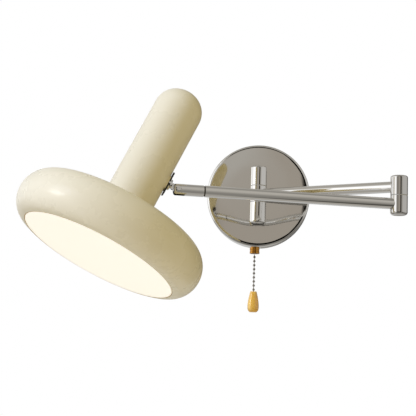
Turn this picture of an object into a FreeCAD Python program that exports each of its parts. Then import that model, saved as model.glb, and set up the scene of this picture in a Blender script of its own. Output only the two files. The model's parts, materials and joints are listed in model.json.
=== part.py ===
# Retractable wall lamp: a round chrome canopy with a two-part swing arm,
# a cream mushroom-shaped head on a knuckle that rolls and tilts, and a pull chain.
# Frame: origin on the wall at the canopy's centre, +X right along the wall,
# +Y into the wall, +Z up. Millimetres and degrees.
import FreeCAD, Part
import math
import os

V = FreeCAD.Vector
UP = V(0, 0, 1)
X = V(1, 0, 0)
Y = V(0, 1, 0)
ORIGIN = V(0, 0, 0)

# Rest pose
arm_1_angle = 28.2            # arm 1, away from the wall
arm_2_angle = 16.1            # arm 2, away from the wall
roll_angle = 7.4              # the knuckle, about arm 2
tilt_angle = 26.4             # the head's stem, above arm 2

# Fits shared by all pieces
running_clearance = 0.05      # a shaft turning in its bore, on the radius
seat_clearance = 0.05         # a piece fixed in its seat
body_gap = 0.3                # between pieces that move apart
face_gap = 0.1                # between flat faces that rub
overrun = 1.0                 # how far a cutting tool passes a face

# Canopy, the round cover on the wall
canopy_radius = 60.0
canopy_depth = 25.0
canopy_crown_slope = 5.5      # degrees, of the face where its crown ends
canopy_ease_slope = 14.5      # degrees, where the easing arc meets the edge's round
canopy_ease_radius = 12.0
canopy_edge_round = 3.0
canopy_wall = 1.2
canopy_screw_height = 12.5    # from the wall to the side screws

# Wall bracket, the slotted bar that the canopy hides
bracket_width = 20.0
bracket_thickness = 2.0
bracket_end_gap = 0.6         # from its tabs to the canopy's wall
bracket_tab_depth = 17.0      # how far the end tabs stand off the wall
bracket_tab_width = 14.0
slot_spacing = 60.0
slot_width = 5.0
slot_length = 14.0
side_screw_radius = 2.0
side_screw_length = 8.0
side_screw_head_radius = 3.6
side_screw_head_height = 1.6
earth_screw_radius = 1.75
earth_screw_head_radius = 3.4
earth_screw_head_height = 2.2
earth_screw_offset = 13.0     # from the bracket's centre, to the left

# Backing plate and the hollow nipples that hold the column
backing_width = 26.0
backing_height = 62.0
backing_thickness = 2.0
backing_corner = 3.0
nipple_radius = 4.0
nipple_bore = 2.5
nipple_tail = 2.0             # thread left showing behind its nut
nipple_nut_flats = 12.0
nipple_nut_height = 4.0

# Wall column: fixed top, turning sleeve, fixed base
column_radius = 9.25
column_gap = 1.25             # between the column and the canopy
column_top_height = 22.3
column_base_height = 25.2
column_top_round = 2.2
column_foot_round = 3.4
seam_edge_round = 0.2
sleeve_height = 18.3
column_washer_thickness = 0.4
washer_inset = 0.2            # how far a washer lies back in its seam
spindle_radius = 4.0
spindle_bore = 2.4
spindle_engagement = 14.0     # how far it goes into the top and the base
upper_nipple_rise = 10.4      # nipple centre above the top piece's lower face
lower_nipple_drop = 11.6      # nipple centre below the base piece's upper face

# Arms
arm_tube_radius = 6.0
arm_tube_wall = 1.0
arm_1_length = 172.0          # column axis to elbow axis
arm_2_length = 240.0          # elbow axis to tilt pivot
arm_drop = 18.6               # arm 2's axis below arm 1's
socket_floor = 5.6            # from a barrel's axis to the end of the tube in it
wire_hole_radius = 1.8
cable_radius = 1.5

# Elbow
elbow_radius = 9.25
elbow_half_height = 21.0
elbow_top_round = 2.2
elbow_foot_round = 3.4
elbow_washer_thickness = 0.4
elbow_spindle_radius = 3.5
elbow_spindle_bore = 2.0
elbow_spindle_rise = 16.0     # how far it goes into the upper half
elbow_pocket_radius = 5.6
elbow_pocket_depth = 4.9
elbow_nut_flats = 9.0
elbow_nut_height = 2.6
elbow_cap_thickness = 1.5

# Knuckle: a fork that turns in the end of arm 2
knuckle_length = 27.0         # tilt pivot to the dark ring
ring_groove_width = 1.5
ring_inset = 0.7
fork_nose = 4.8               # fork end beyond the pivot
fork_nose_round = 2.4
fork_slot_width = 4.4
fork_slot_depth = 6.0         # slot floor behind the pivot
spigot_radius = 3.0
spigot_bore = 1.8
spigot_length = 21.0
bush_length = 15.0
knuckle_nut_flats = 8.0
knuckle_nut_height = 3.0
tilt_screw_radius = 1.5
tilt_screw_head_radius = 2.3
tilt_screw_head_height = 1.85
tilt_recess_gap = 0.15        # round the screw's head and round its nut
tilt_recess_floor = 4.0       # from the fork's axis to the recess floor
tilt_nut_flats = 4.6
tilt_nut_height = 1.4
driver_slot_width = 0.6
driver_slot_depth = 0.6

# Neck: the tongue in the fork and the stem that carries the head
tongue_radius = 4.6
tongue_thickness = 4.0
tongue_length = 7.6
neck_start = 7.2
neck_radius = 3.0
collar_radius = 6.0           # the domed collar that the black washer seats on
collar_thickness = 3.4
collar_round = 1.5
collar_sink = 1.1             # how deep the collar sits in the washer
neck_bore = 1.2               # the cable's way in from below
stem_radius = 4.0
stem_bore = 2.2
stem_tail = 1.5               # thread left beyond the inner nut
stem_reach = 13.0             # tilt pivot to the head's side
flange_radius = 13.4          # the long black washer against the head
flange_width = 11.4
flange_thickness = 1.7
saddle_pad_radius = 8.5
saddle_pad_height = 0.6       # at its thinnest, on top of the tube
inner_saddle_radius = 9.5
inner_saddle_thickness = 2.0
neck_nut_flats = 12.0
neck_nut_height = 4.0

# Head: a tube on a fat round disc, open below for the diffuser
head_tube_radius = 25.5
head_height = 198.0
head_cap_round = 23.0
head_wall = 1.0
disc_radius = 100.0
disc_thickness = 48.0
disc_rim_depth = 20.3         # half width of the rounded rim, seen from above
disc_rise = 1.5               # how far the disc's top climbs to the tube
disc_tube_fillet = 3.0
stem_height = 101.0           # stem above the disc's lower face
diffuser_radius = 81.0
diffuser_thickness = 2.5
diffuser_skirt = 9.0
diffuser_skirt_wall = 2.2
diffuser_edge_round = 0.8
trim_ring_width = 0.8
trim_ring_height = 7.0
hem_height = 8.5
plate_radius = 77.0
plate_thickness = 1.5
plate_height = 15.0           # plate's lower face above the disc's lower face
board_radius = 68.0
board_thickness = 1.6
chip_length = 3.5
chip_width = 2.8
chip_thickness = 0.8
chip_circle_radii = (24.0, 44.0, 61.0)
chip_counts = (6, 10, 14)     # chips on each circle
post_circle_radius = 55.0
post_radius = 3.5
post_count = 3
plate_screw_radius = 1.5
plate_screw_head_radius = 2.9
plate_screw_head_height = 1.8
plate_screw_length = 9.0
board_hole_radius = 4.2       # clears the plate screws
driver_length = 46.0
driver_width = 30.0
driver_height = 22.0
driver_round = 3.0

# Terminal block
terminal_length = 26.0
terminal_width = 14.0
terminal_height = 13.0
terminal_ways = 3
terminal_hole_radius = 1.2
terminal_screw_radius = 1.5
terminal_offset = 15.0        # from the bracket's centre, to the right

# Leads in the canopy and in the head
lead_radius = 0.9
lead_bend = 2.5
lead_seat = 2.0               # how far a lead goes into a case
lead_run_in = 5.5             # straight, in front of the terminal block
lamp_lead_offset = 1.1        # from the nipple's axis
lamp_lead_turn = 11.0         # from the wall
switch_lead_offset = 7.0      # from the switch's axis
switch_lead_rise = 6.0
head_lead_offset = 6.0        # from the head's axis
head_lead_bend = 7.0
board_lead_offset = 5.0       # from the driver's middle
board_lead_reach = 5.0        # beyond the driver's end
board_lead_height = 6.0       # above the mounting plate

# Pull switch and chain
switch_offset = -2.6          # left of the canopy's centre, as photographed
switch_width = 20.0
switch_depth = 15.0
switch_case_wall = 1.2
switch_round = 1.5
bush_radius = 3.9
bush_bore = 2.6
switch_nut_flats = 12.0
switch_nut_height = 2.2
ring_nut_radius = 5.7
ring_nut_height = 7.2
ring_nut_waist = 0.25
ring_nut_collar = 2.4
ring_nut_mouth_radius = 4.2
ring_nut_mouth_depth = 3.0
plunger_radius = 1.3
plunger_head_radius = 3.6
plunger_head_height = 2.0
plunger_travel = 8.0
spring_wire_radius = 0.35
spring_radius = 2.6
spring_turns = 6
spring_solid = 5.5            # its length when pulled home
bead_radius = 1.5
bead_pitch = 4.74
bead_link_radius = 0.45
bead_count = 10               # below the bead in the switch's mouth
bead_drop = 6.4               # first bead below the canopy's edge
bead_grip = 2.6               # knob's top above the last bead's centre
knob_top_radius = 3.6
knob_radius = 6.6
knob_foot_radius = 3.7
knob_height = 24.1
knob_shoulder_share = 0.27    # down from the top
knob_shoulder_radius = 5.2
knob_middle_share = 0.50
knob_middle_radius = 6.15
knob_widest_share = 0.71
knob_lower_share = 0.92
knob_lower_radius = 5.7
knob_bore_depth = 6.5

# Sizes and places that follow
bracket_reach = canopy_radius - canopy_wall - bracket_end_gap
canopy_flat_radius = math.hypot(backing_width / 2 - backing_corner, backing_height / 2 - backing_corner)
canopy_flat_radius += backing_corner + body_gap     # the backing plate holds the face flat
switch_height = 2 * switch_case_wall + plunger_travel + spring_solid + plunger_head_height + body_gap
column_y = -(canopy_depth + column_gap + column_radius)
column_axis = V(0, column_y, 0)
half_sleeve = sleeve_height / 2
column_seam = half_sleeve + 2 * face_gap + column_washer_thickness
elbow_seam = elbow_washer_thickness + 2 * face_gap
elbow_low = -half_sleeve - elbow_seam - elbow_half_height


def turned(angle):
    return math.cos(math.radians(angle)), math.sin(math.radians(angle))


c1, s1 = turned(arm_1_angle)
c2, s2 = turned(arm_2_angle)
cr, sr = turned(roll_angle)
ct, st = turned(tilt_angle)
arm_1_way = V(c1, -s1, 0)
arm_2_way = V(-c2, -s2, 0)
elbow_axis = column_axis + arm_1_way * arm_1_length
arm_2_origin = elbow_axis - UP * arm_drop
pivot = arm_2_origin + arm_2_way * arm_2_length
roll_up = UP * cr + arm_2_way.cross(UP) * sr
stem_way = arm_2_way * ct + roll_up * st
head_way = roll_up * ct - arm_2_way * st
head_origin = pivot + stem_way * (stem_reach + head_tube_radius) - head_way * stem_height
switch_y = -canopy_depth / 2
switch_axis = V(switch_offset, switch_y, 0)
terminal_level = bracket_thickness + terminal_height / 3
driver_foot = plate_height + plate_thickness
board_foot = plate_height - board_thickness
canopy_foot = -math.sqrt(canopy_radius ** 2 - switch_offset ** 2)
top_bead_z = canopy_foot - bead_drop
knob_top_z = top_bead_z - bead_count * bead_pitch + bead_grip


def frame(origin, x_way, z_way):
    # a placement whose local X and Z point the given ways
    y_way = z_way.cross(x_way)
    m = FreeCAD.Matrix(x_way.x, y_way.x, z_way.x, origin.x,
                       x_way.y, y_way.y, z_way.y, origin.y,
                       x_way.z, y_way.z, z_way.z, origin.z,
                       0, 0, 0, 1)
    return FreeCAD.Placement(m)


wall_frame = frame(ORIGIN, X, -Y)     # X right, Y up, Z out
arm_1_frame = frame(column_axis, arm_1_way, UP)
arm_2_frame = frame(arm_2_origin, arm_2_way, UP)
knuckle_frame = frame(pivot, arm_2_way, roll_up)
neck_frame = frame(pivot, stem_way, head_way)
head_frame = frame(head_origin, -stem_way, head_way)    # X towards the knuckle


def placed(shape, placement):
    moved = shape.copy()
    moved.Placement = placement.multiply(shape.Placement)
    return moved


def rod(radius, length, base=ORIGIN, way=UP):
    return Part.makeCylinder(radius, length, base, way)


def tube(radius, bore, length, base=ORIGIN, way=UP):
    back = base - way * overrun
    return rod(radius, length, base, way).cut(rod(bore, length + 2 * overrun, back, way))


def block(size_x, size_y, size_z, centre):
    return Part.makeBox(size_x, size_y, size_z, centre - V(size_x, size_y, size_z) / 2)


def hexagon(flats, height, base=ORIGIN, way=UP):
    corner = flats / math.sqrt(3)
    points = [V(corner * c, corner * s, 0) for c, s in (turned(60 * i) for i in range(7))]
    prism = Part.Face(Part.makePolygon(points)).extrude(UP * height)
    turn = FreeCAD.Rotation(UP, way)
    prism.Placement = FreeCAD.Placement(base, turn)
    return prism


def nut(flats, bore, height, base=ORIGIN, way=UP):
    return hexagon(flats, height, base, way).cut(
        rod(bore, height + 2 * overrun, base - way * overrun, way))


def circle_edges(shape, radius, level):
    # the round edges of that radius whose centre lies at that height
    found = []
    for edge in shape.Edges:
        curve = edge.Curve
        if curve.TypeId == "Part::GeomCircle" and abs(curve.Radius - radius) < seat_clearance:
            if abs(curve.Center.z - level) < seat_clearance:
                found.append(edge)
    return found


def barrel(radius, low, high, round_low, round_high):
    # an upright chrome drum with its rims rounded
    drum = rod(radius, high - low, V(0, 0, low))
    for level, size in ((low, round_low), (high, round_high)):
        drum = drum.makeFillet(size, circle_edges(drum, radius, level))
    return drum


def tube_socket(way=X):
    # the hole that takes an arm tube, with the wire's way to the centre
    hole = rod(arm_tube_radius + seat_clearance, 2 * column_radius, way * socket_floor, way)
    return hole.fuse(rod(wire_hole_radius, socket_floor + overrun, ORIGIN, way))


def revolved(edges):
    face = Part.Face(Part.Wire(Part.__sortEdges__(edges)))
    return face.revolve(ORIGIN, UP, 360)


def line(a, b):
    return Part.makeLine(V(a[0], 0, a[1]), V(b[0], 0, b[1]))


def arc(a, middle, b):
    return Part.Arc(V(a[0], 0, a[1]), V(middle[0], 0, middle[1]), V(b[0], 0, b[1])).toShape()


def corner(centre, radius, start, end):
    # an arc about a centre, from one angle to another
    def at(angle):
        c, s = turned(angle)
        return centre[0] + radius * c, centre[1] + radius * s
    return arc(at(start), at((start + end) / 2), at(end))


def lead(radius, bend, points):
    # a round wire through the points, with its corners eased
    edges = []
    start = points[0]
    for before, at, after in zip(points, points[1:], points[2:]):
        way_in = (at - before).normalize()
        way_out = (after - at).normalize()
        half = math.acos(way_in.dot(way_out)) / 2
        inwards = (way_out - way_in).normalize()
        near = at - way_in * bend * math.tan(half)
        far = at + way_out * bend * math.tan(half)
        middle = at + inwards * (bend / math.cos(half) - bend)
        edges += [Part.makeLine(start, near), Part.Arc(near, middle, far).toShape()]
        start = far
    edges.append(Part.makeLine(start, points[-1]))
    ring = Part.Wire(Part.makeCircle(radius, points[0], points[1] - points[0]))
    return Part.Wire(edges).makePipeShell([ring], True, False)


def canopy_solid(inset):
    # the cover as a full body, drawn in by a wall: side, edge round, easing arc, crown, flat middle
    radius = canopy_radius - inset
    depth = canopy_depth - inset
    edge = canopy_edge_round - inset
    ease = canopy_ease_radius - inset
    c1, s1 = turned(canopy_crown_slope)
    c2, s2 = turned(canopy_ease_slope)
    edge_centre = radius - edge
    ease_centre = edge_centre + (edge - ease) * s2
    crown = (ease_centre + ease * s1 - canopy_flat_radius) / s1
    crown_z = depth - crown
    ease_z = crown_z + (crown - ease) * c1
    edge_z = ease_z + (ease - edge) * c2
    return revolved([
        line((0, 0), (radius, 0)),
        line((radius, 0), (radius, edge_z)),
        corner((edge_centre, edge_z), edge, 0, 90 - canopy_ease_slope),
        corner((ease_centre, ease_z), ease, 90 - canopy_ease_slope, 90 - canopy_crown_slope),
        corner((canopy_flat_radius, crown_z), crown, 90 - canopy_crown_slope, 90),
        line((canopy_flat_radius, depth), (0, depth)),
        line((0, depth), (0, 0)),
    ])


nipple_heights = (column_seam + upper_nipple_rise, -column_seam - lower_nipple_drop)
backing_face = canopy_depth - canopy_wall - seat_clearance


def make_canopy():
    outer = canopy_solid(0)
    inner = canopy_solid(canopy_wall)
    inner = inner.fuse(rod(canopy_radius - canopy_wall, overrun, V(0, 0, -overrun)))
    shell = outer.cut(inner)
    for height in nipple_heights:
        shell = shell.cut(rod(nipple_radius + seat_clearance, canopy_depth,
                              V(0, height, canopy_depth / 2)))
    mouth = V(switch_offset, -canopy_radius + 2 * canopy_edge_round, canopy_depth / 2)
    shell = shell.cut(rod(bush_radius + seat_clearance, 3 * canopy_edge_round, mouth, -Y))
    for side in (1, -1):
        shell = shell.cut(side_screw(side, seat_clearance, overrun))
    return placed(shell, wall_frame)


def side_screw(side, gap=0.0, stretch=0.0):
    # a countersunk screw set flush in the canopy's side
    way = V(side, 0, 0)
    head_face = canopy_radius - canopy_wall / 6
    centre = V(0, 0, canopy_screw_height)
    head = Part.makeCone(side_screw_radius + gap, side_screw_head_radius + gap, side_screw_head_height,
                         centre + way * (head_face - side_screw_head_height), way)
    shank = rod(side_screw_radius + gap, side_screw_length,
                centre + way * (head_face - side_screw_head_height - side_screw_length), way)
    screw = head.fuse(shank)
    if stretch:
        screw = screw.fuse(rod(side_screw_head_radius + gap, stretch, centre + way * head_face, way))
    return screw


def make_canopy_screws():
    screws = []
    for side in (1, -1):
        recess = block(driver_slot_depth * 2, side_screw_head_radius, driver_slot_width,
                       V(side * (canopy_radius - canopy_wall / 6), 0, canopy_screw_height))
        screws.append(placed(side_screw(side).cut(recess), wall_frame))
    return screws


def make_bracket():
    bar = block(2 * bracket_reach, bracket_width, bracket_thickness, V(0, 0, bracket_thickness / 2))
    trim_radius = canopy_radius - canopy_wall - body_gap
    for side in (1, -1):
        tab = block(bracket_thickness, bracket_tab_width, bracket_tab_depth,
                    V(side * (bracket_reach - bracket_thickness / 2), 0, bracket_tab_depth / 2))
        bar = bar.fuse(tab)
        slot_centre = side * slot_spacing / 2
        straight = slot_length - slot_width
        bar = bar.cut(block(straight, slot_width, 3 * bracket_thickness, V(slot_centre, 0, 0)))
        for end in (1, -1):
            bar = bar.cut(rod(slot_width / 2, 3 * bracket_thickness,
                              V(slot_centre + end * straight / 2, 0, -bracket_thickness)))
    bar = bar.common(rod(trim_radius, bracket_tab_depth + overrun))
    screw_run = rod(side_screw_radius + seat_clearance, 2 * (bracket_reach + overrun),
                    V(-bracket_reach - overrun, 0, canopy_screw_height), X)
    bar = bar.cut(screw_run)
    bar = bar.cut(rod(earth_screw_radius + seat_clearance, 3 * bracket_thickness,
                      V(-earth_screw_offset, 0, -bracket_thickness)))
    return placed(bar.removeSplitter(), wall_frame)


def make_earth_screw():
    base = V(-earth_screw_offset, 0, 0)
    head = rod(earth_screw_head_radius, earth_screw_head_height, base + UP * bracket_thickness)
    head = head.makeFillet(earth_screw_head_height / 3,
                           circle_edges(head, earth_screw_head_radius,
                                        bracket_thickness + earth_screw_head_height))
    screw = head.fuse(rod(earth_screw_radius, bracket_thickness + seat_clearance, base))
    top = base + UP * (bracket_thickness + earth_screw_head_height)
    for turn in (0, 90):
        c, s = turned(turn)
        length, width = earth_screw_head_radius, driver_slot_width
        size = (length, width) if c > s else (width, length)
        screw = screw.cut(block(size[0], size[1], 2 * driver_slot_depth, top))
    return placed(screw, wall_frame)


def make_backing_plate():
    plate = block(backing_width, backing_height, backing_thickness,
                  V(0, 0, backing_face - backing_thickness / 2))
    for height in nipple_heights:
        plate = plate.cut(rod(nipple_radius + seat_clearance, canopy_depth, V(0, height, 0)))
    corners = [e for e in plate.Edges if abs(e.Vertexes[0].Z - e.Vertexes[-1].Z) > overrun
               and len(e.Vertexes) == 2]
    plate = plate.makeFillet(backing_corner, corners)
    return placed(plate, wall_frame)


def make_nipples():
    # from just outside the spindle to behind the backing plate's nut
    start = backing_face - backing_thickness - nipple_nut_height - nipple_tail
    end = -column_y - spindle_radius - body_gap
    pieces = []
    for height in nipple_heights:
        nipple = tube(nipple_radius, nipple_bore, end - start, V(0, height, start))
        pieces.append(placed(nipple, wall_frame))
    return pieces


def make_nipple_nuts():
    seat = backing_face - backing_thickness - nipple_nut_height
    return [placed(nut(nipple_nut_flats, nipple_radius + seat_clearance, nipple_nut_height,
                       V(0, height, seat)), wall_frame) for height in nipple_heights]


def column_end(low, high, round_low, round_high, nipple_height, spindle_from, spindle_to):
    # a fixed end of the column, bored for the spindle and for its nipple
    drum = barrel(column_radius, low, high, round_low, round_high)
    drum = drum.cut(rod(spindle_radius + seat_clearance, spindle_to - spindle_from,
                        V(0, 0, spindle_from)))
    drum = drum.cut(rod(nipple_radius + seat_clearance, 2 * column_radius,
                        V(0, 0, nipple_height), Y))
    return placed(drum, FreeCAD.Placement(column_axis, FreeCAD.Rotation()))


def make_column_top():
    return column_end(column_seam, column_seam + column_top_height, seam_edge_round,
                      column_top_round, nipple_heights[0],
                      column_seam - overrun, column_seam + spindle_engagement + seat_clearance)


def make_column_base():
    return column_end(-column_seam - column_base_height, -column_seam, column_foot_round,
                      seam_edge_round, nipple_heights[1],
                      -column_seam - spindle_engagement - seat_clearance, -column_seam + overrun)


def window(radius, place):
    # the wire's way out over half a turn, on the -Y side
    return block(4 * radius, 2 * radius, 2 * wire_hole_radius, place - Y * radius)


def make_column_spindle():
    reach = column_seam + spindle_engagement
    spindle = tube(spindle_radius, spindle_bore, 2 * reach, V(0, 0, -reach))
    spindle = spindle.cut(window(spindle_radius, ORIGIN))
    for height in nipple_heights:
        spindle = spindle.cut(rod(wire_hole_radius, 2 * spindle_radius, V(0, 0, height), Y))
    return placed(spindle, FreeCAD.Placement(column_axis, FreeCAD.Rotation()))


def make_column_washers():
    # one above the sleeve and one below it
    levels = (half_sleeve + face_gap, -half_sleeve - face_gap - column_washer_thickness)
    return [tube(column_radius - washer_inset, spindle_radius + running_clearance,
                 column_washer_thickness, column_axis + UP * level) for level in levels]


def make_sleeve():
    drum = barrel(column_radius, -half_sleeve, half_sleeve, seam_edge_round, seam_edge_round)
    drum = drum.cut(rod(spindle_radius + running_clearance, 2 * sleeve_height,
                        V(0, 0, -sleeve_height)))
    return placed(drum.cut(tube_socket()), arm_1_frame)


def make_arm_1():
    length = arm_1_length - 2 * (socket_floor + seat_clearance)
    pipe = tube(arm_tube_radius, arm_tube_radius - arm_tube_wall, length,
                V(socket_floor + seat_clearance, 0, 0), X)
    return placed(pipe, arm_1_frame)


def make_arm_1_cable():
    # from the column's spindle to the elbow's, and down inside that one
    start = spindle_radius + body_gap
    run = rod(cable_radius, arm_1_length - start, X * start, X)
    bend = Part.makeSphere(cable_radius, X * arm_1_length)
    drop = rod(cable_radius, arm_drop, X * arm_1_length - UP * arm_drop)
    return placed(run.multiFuse([bend, drop]), arm_1_frame)


def make_elbow_top():
    high = elbow_half_height - half_sleeve
    drum = barrel(elbow_radius, -half_sleeve, high, seam_edge_round, elbow_top_round)
    drum = drum.cut(rod(elbow_spindle_radius + seat_clearance, elbow_spindle_rise + seat_clearance + overrun,
                        V(0, 0, -half_sleeve - overrun)))
    drum = drum.cut(tube_socket(-X))
    return placed(drum, frame(elbow_axis, arm_1_way, UP))


def make_elbow_base():
    high = -half_sleeve - elbow_seam
    drum = barrel(elbow_radius, elbow_low, high, elbow_foot_round, seam_edge_round)
    drum = drum.cut(rod(elbow_spindle_radius + running_clearance, 2 * elbow_half_height,
                        V(0, 0, elbow_low - overrun)))
    drum = drum.cut(rod(elbow_pocket_radius, elbow_pocket_depth + overrun,
                        V(0, 0, elbow_low - overrun)))
    socket = tube_socket()
    socket.translate(V(0, 0, -arm_drop))
    return placed(drum.cut(socket), frame(elbow_axis, arm_2_way, UP))


def make_elbow_spindle():
    low = elbow_low + elbow_pocket_depth - face_gap - elbow_nut_height - face_gap
    top = -half_sleeve + elbow_spindle_rise
    spindle = tube(elbow_spindle_radius, elbow_spindle_bore, top - low, V(0, 0, low))
    spindle = spindle.cut(rod(wire_hole_radius, 2 * elbow_spindle_radius, ORIGIN, -X))
    spindle = spindle.cut(window(elbow_spindle_radius, -UP * arm_drop))
    return placed(spindle, frame(elbow_axis, arm_1_way, UP))


def make_elbow_nut():
    seat = elbow_low + elbow_pocket_depth - face_gap - elbow_nut_height
    return nut(elbow_nut_flats, elbow_spindle_radius + seat_clearance, elbow_nut_height,
               elbow_axis + UP * seat)


def make_elbow_washer():
    return tube(elbow_radius - washer_inset, elbow_spindle_radius + running_clearance,
                elbow_washer_thickness, elbow_axis - UP * (half_sleeve + elbow_seam - face_gap))


def make_elbow_cap():
    return rod(elbow_pocket_radius - seat_clearance, elbow_cap_thickness, elbow_axis + UP * elbow_low)


arm_2_tube_end = arm_2_length - knuckle_length - ring_groove_width / 2


def make_arm_2():
    start = socket_floor + seat_clearance
    pipe = tube(arm_tube_radius, arm_tube_radius - arm_tube_wall, arm_2_tube_end - start,
                V(start, 0, 0), X)
    return placed(pipe, arm_2_frame)


def make_arm_2_cable():
    # from the elbow's spindle to inside the knuckle's hollow spigot
    start = elbow_spindle_radius + body_gap
    end = arm_2_length + fork_back - spigot_length / 2
    return placed(rod(cable_radius, end - start, X * start, X), arm_2_frame)


def make_roll_bush():
    bush = tube(arm_tube_radius - arm_tube_wall - seat_clearance, spigot_radius + running_clearance,
                bush_length, V(arm_2_tube_end - bush_length, 0, 0), X)
    return placed(bush, arm_2_frame)


fork_back = -knuckle_length + ring_groove_width / 2


def make_fork():
    nose = rod(arm_tube_radius, fork_nose - fork_back, V(fork_back, 0, 0), X)
    front = [e for e in nose.Edges if e.Curve.TypeId == "Part::GeomCircle"
             and e.Curve.Center.x > 0]
    nose = nose.makeFillet(fork_nose_round, front)
    slot_end = rod(fork_slot_width / 2, 3 * arm_tube_radius,
                   V(-fork_slot_depth + fork_slot_width / 2, 0, -2 * arm_tube_radius))
    slot_run = fork_slot_depth + fork_nose + overrun - fork_slot_width / 2
    slot = block(slot_run, fork_slot_width, 3 * arm_tube_radius,
                 V(-fork_slot_depth + fork_slot_width / 2 + slot_run / 2, 0, 0))
    fork = nose.cut(slot).cut(slot_end)
    fork = fork.cut(rod(tilt_screw_radius + running_clearance, 4 * arm_tube_radius,
                        V(0, -2 * arm_tube_radius, 0), Y))
    for side, fill in ((1, tilt_screw_head_radius), (-1, tilt_nut_flats / math.sqrt(3))):
        fork = fork.cut(rod(fill + tilt_recess_gap, arm_tube_radius,
                            V(0, side * tilt_recess_floor, 0), Y * side))
    spigot_end = fork_back - spigot_length
    fork = fork.fuse(rod(spigot_radius, spigot_length + overrun, V(spigot_end, 0, 0), X))
    fork = fork.cut(rod(spigot_bore, -fork_slot_depth - spigot_end + overrun + fork_slot_width / 2,
                        V(spigot_end - overrun, 0, 0), X))
    return placed(fork, knuckle_frame)


def make_ring_seal():
    seal = tube(arm_tube_radius - ring_inset, spigot_radius + seat_clearance,
                ring_groove_width - 2 * face_gap,
                V(fork_back - ring_groove_width + face_gap, 0, 0), X)
    return placed(seal, knuckle_frame)


def make_knuckle_nut():
    seat = fork_back - ring_groove_width - bush_length - face_gap - knuckle_nut_height
    piece = nut(knuckle_nut_flats, spigot_radius + seat_clearance, knuckle_nut_height,
                V(seat, 0, 0), X)
    return placed(piece, knuckle_frame)


def make_tilt_screw():
    seat = tilt_recess_floor + seat_clearance
    head = rod(tilt_screw_head_radius, tilt_screw_head_height, V(0, seat, 0), Y)
    far_end = seat + tilt_nut_height
    shank = rod(tilt_screw_radius, tilt_recess_floor + far_end + 2 * seat_clearance,
                V(0, -far_end, 0), Y)
    screw = head.fuse(shank)
    face = tilt_recess_floor + tilt_screw_head_height
    recess = block(3 * tilt_screw_head_radius, 2 * driver_slot_depth, driver_slot_width, V(0, face, 0))
    return placed(screw.cut(recess), knuckle_frame)


def make_tilt_nut():
    piece = nut(tilt_nut_flats, tilt_screw_radius + seat_clearance, tilt_nut_height,
                V(0, -tilt_recess_floor - seat_clearance, 0), -Y)
    return placed(piece, knuckle_frame)


flange_start = stem_reach - saddle_pad_height - flange_thickness
collar_start = flange_start + collar_sink - seat_clearance - collar_thickness
inner_face = stem_reach + head_wall + seat_clearance
neck_nut_start = inner_face + inner_saddle_thickness + seat_clearance


def make_tongue():
    tongue = rod(tongue_radius, tongue_thickness, V(0, -tongue_thickness / 2, 0), Y)
    tongue = tongue.fuse(block(tongue_length, tongue_thickness, 2 * neck_radius,
                               V(tongue_length / 2, 0, 0)))
    tongue = tongue.fuse(rod(neck_radius, collar_start - neck_start + overrun / 2, V(neck_start, 0, 0), X))
    collar = rod(collar_radius, collar_thickness, V(collar_start, 0, 0), X)
    front = [e for e in collar.Edges if e.Curve.TypeId == "Part::GeomCircle"
             and e.Curve.Center.x < collar_start + seat_clearance]
    tongue = tongue.fuse(collar.makeFillet(collar_round, front))
    stem_end = neck_nut_start + neck_nut_height + stem_tail
    tongue = tongue.fuse(rod(stem_radius, stem_end - collar_start, V(collar_start, 0, 0), X))
    tongue = tongue.cut(rod(tilt_screw_radius + running_clearance, 4 * tongue_thickness,
                            V(0, -2 * tongue_thickness, 0), Y))
    tongue = tongue.cut(rod(stem_bore, stem_end, V(collar_start, 0, 0), X))
    port = tongue_radius + neck_bore
    tongue = tongue.cut(rod(neck_bore, collar_start + overrun - port, X * port, X))
    tongue = tongue.cut(rod(neck_bore, 2 * neck_radius, X * port, -UP))
    return placed(tongue.removeSplitter(), neck_frame)


def make_neck_nut():
    piece = nut(neck_nut_flats, stem_radius + seat_clearance, neck_nut_height,
                V(neck_nut_start, 0, 0), X)
    return placed(piece, neck_frame)


rim_start = disc_radius - disc_rim_depth
tube_foot = head_tube_radius + disc_tube_fillet


def disc_profile(inset):
    # the disc and tube outline, drawn in by a wall thickness
    middle = disc_thickness / 2
    rim_h = middle - inset
    rim_r = disc_rim_depth - inset
    fillet = disc_tube_fillet + inset
    tube_r = head_tube_radius - inset
    top = head_height - inset
    cap = head_cap_round - inset
    crest = disc_thickness - inset
    saddle = crest + disc_rise
    open_r = diffuser_radius + trim_ring_width + 3 * seat_clearance + inset
    foot_turn = math.pi - math.asin((open_r - rim_start) / rim_r)
    foot = (open_r, middle + rim_h * math.cos(foot_turn))
    rim = Part.Ellipse(V(rim_start, 0, crest), V(rim_start + rim_r, 0, middle), V(rim_start, 0, middle))
    edges = [
        Part.ArcOfEllipse(rim, 0, foot_turn).toShape(),
        line((rim_start, crest), (tube_foot, saddle)),
        corner((tube_foot, saddle + fillet), fillet, 270, 180),
        line((tube_r, saddle + fillet), (tube_r, top - cap)),
        corner((tube_r - cap, top - cap), cap, 0, 90),
        line((tube_r - cap, top), (0, top)),
    ]
    return edges, foot, top


def ceiling(radius):
    # the disc's inner top at a radius
    share = (rim_start - radius) / (rim_start - tube_foot)
    return disc_thickness + disc_rise * share - head_wall


def make_head_shell():
    outer, outer_foot, outer_top = disc_profile(0)
    inner, inner_foot, inner_top = disc_profile(head_wall)
    hem_r = outer_foot[0]
    # the sheet's edge is turned up inside as a hem around the opening
    section = outer + [line((0, outer_top), (0, inner_top))] + inner
    section.append(line(inner_foot, (hem_r + head_wall, hem_height)))
    section.append(line((hem_r + head_wall, hem_height), (hem_r, hem_height)))
    section.append(line((hem_r, hem_height), outer_foot))
    shell = revolved(section)
    hole = rod(stem_radius + body_gap, 2 * head_tube_radius, V(0, 0, stem_height), X)
    return placed(shell.cut(hole), head_frame)


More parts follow.
